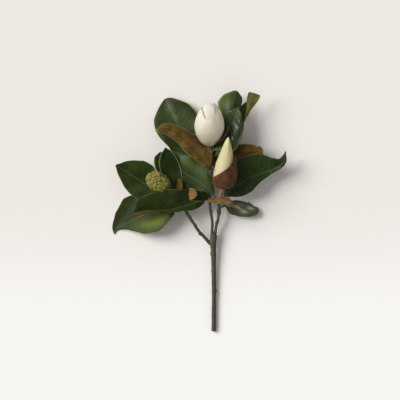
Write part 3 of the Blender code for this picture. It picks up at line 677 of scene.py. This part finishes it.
# span: degrees round the bud (0 right, 90 up); start: where it starts along the bud
# ends: where it ends, at even stations of the span; lift: how far it stands off along the span; flare: more
# at its end; ruffle, rimLift: waves and lift of its edge; warm: painted light, a light yellowish
# patch that lifts a shaded side; band: a darker yellowish band (each: angle, place along, how wide, how long,
# strength); bract: its felt, where the piece isn't a petal
whiteWraps = {
    # the broad front petal folds down to a notch left of the middle; the others close up behind it
    "white_petal_left": dict(
        span=(20, 232), start=0.03,
        ends=(0.92, 0.86, 0.74, 0.7, 0.62, 0.67, 0.8, 0.83, 0.88, 0.86, 0.84, 0.8),
        # painted light: a light yellowish patch on the shaded right side of the bud
        lift=(0.6, 1.4, 1.3, -0.3), ruffle=0.35, rimLift=0.9, seed=1.0, warm=(40, 0.45, 36, 0.5, 0.95),
        band=(74, 0.5, 13, 0.22, 0.4)),
    "white_petal_right": dict(
        span=(-60, 76), start=0.03, ends=(0.84, 0.92, 0.94, 0.9, 0.8), lift=(-0.4, -0.8, -1.4), ruffle=0.35,
        seed=2.0),
    "white_petal_back": dict(
        span=(206, 332), start=0.03, ends=(0.80, 0.88, 0.80), lift=(0.8, 0.8), ruffle=0.3, seed=3.0),
    "white_petal_ruffle_left": dict(
        span=(60, 250), start=0.5, ends=(0.86, 0.97, 0.985, 0.96, 0.97, 0.9), lift=(-2.2, -1.8), flare=2.2,
        ruffle=0.8, rimLift=0.8, seed=6.0),
    "white_petal_ruffle_right": dict(
        span=(-100, 84), start=0.5, ends=(0.9, 0.97, 0.955, 0.98, 0.93), lift=(-1.6, -2.6), flare=1.8,
        ruffle=0.7, rimLift=0.8, seed=7.0),
    "bud_bract_left": dict(
        span=(145, 212), start=0.01, ends=(0.1, 0.2, 0.38, 0.14), lift=3.2, flare=12, columns=40, rows=40,
        bract=brownBract),
    "bud_bract_right": dict(
        span=(-34, 40), start=0.01, ends=(0.12, 0.38, 0.6, 0.3, 0.1), lift=3.2, flare=5, columns=40, rows=40,
        bract=brownBract),
}
creamWraps = {
    "cream_petal_outer": dict(
        span=(20, 250), start=0.06, ends=(0.94, 0.94, 0.9, 0.8), lift=(-0.9, -1.5), ruffle=0.1, seed=4.0),
    "cream_bract": dict(
        span=(-110, 190), start=0.004, ends=(0.35, 0.6, 0.7, 0.47, 0.27, 0.15),
        lift=(1.6, 2.8, 3.4, 2.2, 1.6), thickness=1.2, ruffle=0.15, seed=5.0, bract=russetBract),
}


def roundRadius(form, t):
    # radius of a bud or pod at t from its base (0) to its tip (1)
    return form["radius"] * np.maximum(0, np.sin(pi * t ** form["lean"])) ** form["blunt"]


def axisFrame(form):
    base, tip = np.array(form["base"], float), np.array(form["tip"], float)
    along = (tip - base) / np.linalg.norm(tip - base)
    side = np.cross(along, (0, 0, 1))
    side /= np.linalg.norm(side)
    return base, tip, side, np.cross(side, along)


def makeWrap(node, bud, span, start, ends, lift, flare=0.0, thickness=0.9, columns=90, rows=70, ruffle=0.0,
             rimLift=0.6, seed=0.0, warm=None, band=None, bract=None):
    # a petal or bract that lies round the axis of its bud
    base, tip, side, up = axisFrame(bud)
    across = np.linspace(0, 1, columns)[None, :]
    v = np.linspace(0, 1, rows)[:, None]
    smoothEnds = smoothPath([(k, e, 0) for k, e in zip(np.linspace(0, 1, len(ends)), ends)], 200)
    end = np.interp(across, smoothEnds[:, 0], smoothEnds[:, 1])
    t = np.clip(start + (end - start) * v, 1e-4, 1 - 1e-4)
    angle = np.radians(span[0] + (span[1] - span[0]) * across) + 0 * v
    edge = np.maximum(np.abs(2 * across - 1) ** 6, v ** 5)
    edgeWave = ruffle * v ** 3 * (np.sin(23 * across + seed) + 0.6 * np.sin(41 * across + 2 * seed))
    far = np.maximum(0.6, roundRadius(bud, t)) + stations(lift, across) + flare * v ** 2
    far = far + rimLift * edge + edgeWave
    direction = outward(angle, side, up)
    spine = base + (tip - base) * t[..., None]
    lump = 0.55 * roughness3d(spine + far[..., None] * direction, 13, seed)
    half = thickness / 2 * np.sqrt(np.maximum(0.05, 1 - edge ** 3))
    middle = far + lump - thickness / 2
    outer = spine + (middle + half)[..., None] * direction
    inner = spine + (middle - half)[..., None] * direction
    width = np.radians(abs(span[1] - span[0])) * bud["radius"] * (across - 0.5) + 0 * v

    def spot(values):
        if values is None:
            return 0 * width
        turn, at, wide, long, strength = values
        return strength * np.exp(-((np.degrees(angle) - turn) / wide) ** 2 - ((t - at) / long) ** 2)

    # painted light: the first spot is a light yellowish patch that lifts a shaded side; the band is a darker
    # yellowish one
    painted = {"alongPetal": t + 0 * across, "acrossPetal": width + 100, "rim": smoothStep(0.7, 1, edge),
               "warm": spot(warm), "band": spot(band)}
    marks = {label: np.concatenate([values, values[:, ::-1]], axis=1).ravel()
             for label, values in painted.items()}
    addPiece(node, *skin(np.concatenate([outer, inner[:, ::-1]], axis=1)), [bract or bud["finish"]],
             "bract" if bract else bud["slot"], marks)


def makeInner(node, bud, share, turns, foldHeight):
    # the closed petals inside: a rounded body with the edges of the inner tepals winding round it
    base, tip, side, up = axisFrame(bud)
    t = (0.5 - 0.5 * np.cos(np.linspace(0, pi, 92)))[1:-1][:, None]
    angle = np.linspace(0, 2 * pi, 120, endpoint=False)[None, :]
    wind = (angle / (2 * pi) * 3 + turns * t) % 1
    ridge = foldHeight * (1 - wind) ** 2.5 * smoothStep(0, 0.06, wind) * smoothStep(0.02, 0.3, t)
    far = np.maximum(0.4, share * roundRadius(bud, t)) + ridge
    loops = base + (tip - base) * t[..., None] + far[..., None] * outward(angle, side, up)
    marks = {"alongPetal": (t + 0 * angle).ravel(), "acrossPetal": (angle * bud["radius"] + 0 * t).ravel(),
             "rim": (smoothStep(0.12, 0.0, wind)).ravel()}
    addPiece(node, *skin(loops, tip=tip), [bud["finish"]], bud["slot"], marks)


for innerNode, bud, wraps in (("white_petals_inner", whiteBud, whiteWraps),
                              ("cream_petals_inner", creamBud, creamWraps)):
    makeInner(innerNode, bud, **bud["inner"])
    for node, values in wraps.items():
        makeWrap(node, bud, **values)

stalkValues = dict(path=[(9.9, 255, 33.5), (12, 268, 43), (17, 284, 59)], radii=(3.2, 3.9, 4.7, 4.6),
                   length=33, rows=70, sides=40, scarAt=9, scarHigh=0.35, scarWide=0.8, lumpHigh=0.25,
                   lumpSize=3)


def makeStalkSkin():
    # flower stalk: green-brown skin under fine reddish down
    made, tree, place, _ = newMaterial("downyFlowerStalk")
    cloud = addTo(tree, "TexNoise", {"Vector": place, "Scale": 150, "Detail": 3})
    down = addTo(tree, "TexNoise", {"Vector": place, "Scale": 1600, "Detail": 4, "Roughness": 0.7})
    downMask = addTo(tree, "MapRange", {0: down, 1: 0.5, 2: 0.75, 4: 0.5})
    colour = addTo(tree, "Mix", {0: cloud, 6: "6d4c36", 7: "8f6a50"}, **colourMix)
    fill(tree, tree.nodes["Principled BSDF"], {
        "Base Color": addTo(tree, "Mix", {0: downMask, 6: colour, 7: "b08a6a"}, **colourMix),
        "Roughness": 0.7, "Sheen Weight": 0.3,
        "Normal": addTo(tree, "Bump", {"Height": down, "Strength": 0.5, "Distance": 0.0004})})
    return made


def makeStalk():
    rows = stalkValues["rows"]
    centre = smoothPath(stalkValues["path"], rows)
    side, up = framesAlong(centre)
    angles = np.linspace(0, 2 * pi, stalkValues["sides"], endpoint=False)[None, :]
    direction = outward(angles, side[:, None, :], up[:, None, :])
    thick = stations(stalkValues["radii"], np.linspace(0, 1, rows))[:, None] + 0 * angles
    fromScar = np.linspace(0, stalkValues["length"], rows)[:, None] - stalkValues["scarAt"]
    thick = thick + stalkValues["scarHigh"] * np.exp(-(fromScar / stalkValues["scarWide"]) ** 2)
    spots = centre[:, None, :] + thick[..., None] * direction
    thick = thick + stalkValues["lumpHigh"] * roughness3d(spots, stalkValues["lumpSize"])
    loops = centre[:, None, :] + thick[..., None] * direction
    addPiece("cream_stalk", *skin(loops), [makeStalkSkin()], "flower_stalk")


makeStalk()
print("buds: white and cream")

podValues = dict(base=(-87, 285, 56), tip=(-134, 310, 64), radius=17.4, lean=1.05, blunt=0.5, follicles=84,
                 bump=2.8, valleyWidth=3.4, beakHigh=1.3, beakWidth=1.1, sideJitter=0.45, alongJitter=0.035,
                 lumpHigh=2.2, lumpSize=15)


def makePodSkin():
    # unripe magnolia cone: fleshy yellow-green follicles under a fine down, darker brown in the creases
    made, tree, place, mark = newMaterial("unripeMagnoliaCone", "crease")
    cloud = addTo(tree, "TexNoise", {"Vector": place, "Scale": 110, "Detail": 4})
    down = addTo(tree, "TexNoise", {"Vector": place, "Scale": 1300, "Detail": 5, "Roughness": 0.7})
    clouded = addTo(tree, "Math", {0: cloud, 1: 0.3, 2: mark["crease"]}, operation="MULTIPLY_ADD")
    creased = addTo(tree, "Math", {0: clouded, 1: 0.15}, operation="SUBTRACT")
    fleshMask = addTo(tree, "MapRange", {0: cloud, 1: 0.35, 2: 0.65})
    creaseMask = addTo(tree, "MapRange", {0: creased, 1: 0.5, 2: 1.3})
    downMask = addTo(tree, "MapRange", {0: down, 1: 0.55, 2: 0.8, 4: 0.4})
    colour = addTo(tree, "Mix", {0: fleshMask, 6: "655f22", 7: "8e873a"}, **colourMix)
    for mask, above in ((creaseMask, "54441c"), (downMask, "9c8e4c")):
        colour = addTo(tree, "Mix", {0: mask, 6: colour, 7: above}, **colourMix)
    fill(tree, tree.nodes["Principled BSDF"], {
        "Base Color": colour, "Roughness": 0.6, "Specular IOR Level": 0.35,
        "Normal": addTo(tree, "Bump", {"Height": down, "Strength": 0.5, "Distance": 0.0006})})
    return made


def makePod():
    base, tip, side, up = axisFrame(podValues)
    t = (0.5 - 0.5 * np.cos(np.linspace(0, pi, 122)))[1:-1][:, None]
    angle = np.linspace(0, 2 * pi, 160, endpoint=False)[None, :]
    radius = roundRadius(podValues, t)
    length = np.linalg.norm(tip - base)
    # follicles sit on a golden-angle spiral; each point swells by its distance to the nearest one
    seeds = np.arange(podValues["follicles"])
    seedT = 0.5 - 0.5 * np.cos(pi * (seeds + 0.5) / len(seeds))
    seedT = 0.35 * seedT + 0.65 * (seeds + 0.5) / len(seeds)
    jitter = np.random.default_rng(7)
    sideJitter, alongJitter = podValues["sideJitter"], podValues["alongJitter"]
    seedAngle = seeds * pi * (3 - 5 ** 0.5) + jitter.uniform(-sideJitter, sideJitter, len(seeds))
    seedT = seedT + jitter.uniform(-alongJitter, alongJitter, len(seeds))
    turn = (angle[..., None] - seedAngle + pi) % (2 * pi) - pi
    sideways = turn * (0.5 * radius[..., None] + 0.5 * roundRadius(podValues, np.clip(seedT, 0.01, 0.98)))
    lengthwise = (t[..., None] - seedT) * length + 0 * turn
    gap = np.sort(np.sqrt(sideways ** 2 + (0.8 * lengthwise) ** 2), axis=-1)[..., :2]
    valley = np.clip((gap[..., 1] - gap[..., 0]) / podValues["valleyWidth"], 0, 1)
    swell = podValues["bump"] * (valley * (2 - valley)) ** 0.7
    beak = podValues["beakHigh"] * np.exp(-(gap[..., 0] / podValues["beakWidth"]) ** 2)
    far = radius + swell * (0.35 + 0.65 * np.sin(pi * t) ** 0.5) + beak - 0.6
    direction = outward(angle, side, up)
    spine = base + (tip - base) * t[..., None]
    spots = spine + far[..., None] * direction
    far = far + podValues["lumpHigh"] * roughness3d(spots, podValues["lumpSize"], 2.0)
    points, faces = skin(spine + far[..., None] * direction, tip=tip + 0.5 * (tip - base) / length)
    marks = {"crease": (1 - valley + 0.5 * np.exp(-(gap[..., 0] / 0.9) ** 2)).ravel()}
    addPiece("seed_pod", points, faces, [makePodSkin()], "pod", marks)
    print("seed pod:", podValues["follicles"], "follicles")


makePod()

studio = dict(floorSize=3.0, floorFar="ebe7e1", floorNear="f6f4f0", keyFrom=(-1.0, 0.45, 0.95),
              keyStrength=3.16, keyAngle=36, sky="ffffff", skyStrength=0.36)
cameraValues = dict(place=(0, 0.022, 8.0), sensorWidth=36, lens=360)  # 800 mm wide at the floor


def makePaper():
    # matt paper: no gloss, a fine tooth, a little darker away from the window
    made, tree, place, _ = newMaterial("mattPaperFloor")
    northing = addTo(tree, "SeparateXYZ", {0: place}, out="Y")
    grade = addTo(tree, "MapRange", {0: northing, 1: -0.23, 2: 0.04}, interpolation_type="SMOOTHSTEP")
    tooth = addTo(tree, "TexNoise", {"Vector": place, "Scale": 600, "Detail": 4})
    fill(tree, tree.nodes["Principled BSDF"], {
        "Base Color": addTo(tree, "Mix", {0: grade, 6: studio["floorNear"], 7: studio["floorFar"]},
                            **colourMix),
        "Roughness": 0.9, "Specular IOR Level": 0.2,
        "Normal": addTo(tree, "Bump", {"Height": tooth, "Strength": 0.05, "Distance": 0.0003})})
    return made


def makeStudio():
    size = studio["floorSize"]
    floorMesh = bpy.data.meshes.new("studioFloor")
    corners = [(-size, -size, 0), (size, -size, 0), (size, size, 0), (-size, size, 0)]
    floorMesh.from_pydata(corners, [], [[0, 1, 2, 3]])
    floorMesh.materials.append(makePaper())
    floor = bpy.data.objects.new("studioFloor", floorMesh)
    bpy.context.collection.objects.link(floor)
    lamp = bpy.data.lights.new("keyLight", "SUN")  # a wide soft source from the upper left
    lamp.energy, lamp.angle = studio["keyStrength"], radians(studio["keyAngle"])
    light = bpy.data.objects.new("keyLight", lamp)
    bpy.context.collection.objects.link(light)
    light.rotation_euler = Vector(studio["keyFrom"]).to_track_quat("Z", "Y").to_euler()
    world = bpy.data.worlds.new("studioSky")
    world.use_nodes = True
    tree = world.node_tree
    fill(tree, tree.nodes["Background"], {"Color": studio["sky"], "Strength": studio["skyStrength"]})
    bpy.context.scene.world = world
    bpy.context.scene.view_settings.view_transform = "Standard"
    print("studio: floor, key light and sky")


def makeCamera():
    # straight above the branch, with a long lens
    lens = bpy.data.cameras.new("camera")
    lens.sensor_width, lens.lens = cameraValues["sensorWidth"], cameraValues["lens"]
    camera = bpy.data.objects.new("camera", lens)
    camera.location = cameraValues["place"]
    bpy.context.collection.objects.link(camera)
    bpy.context.scene.camera = camera


makeStudio()
makeCamera()
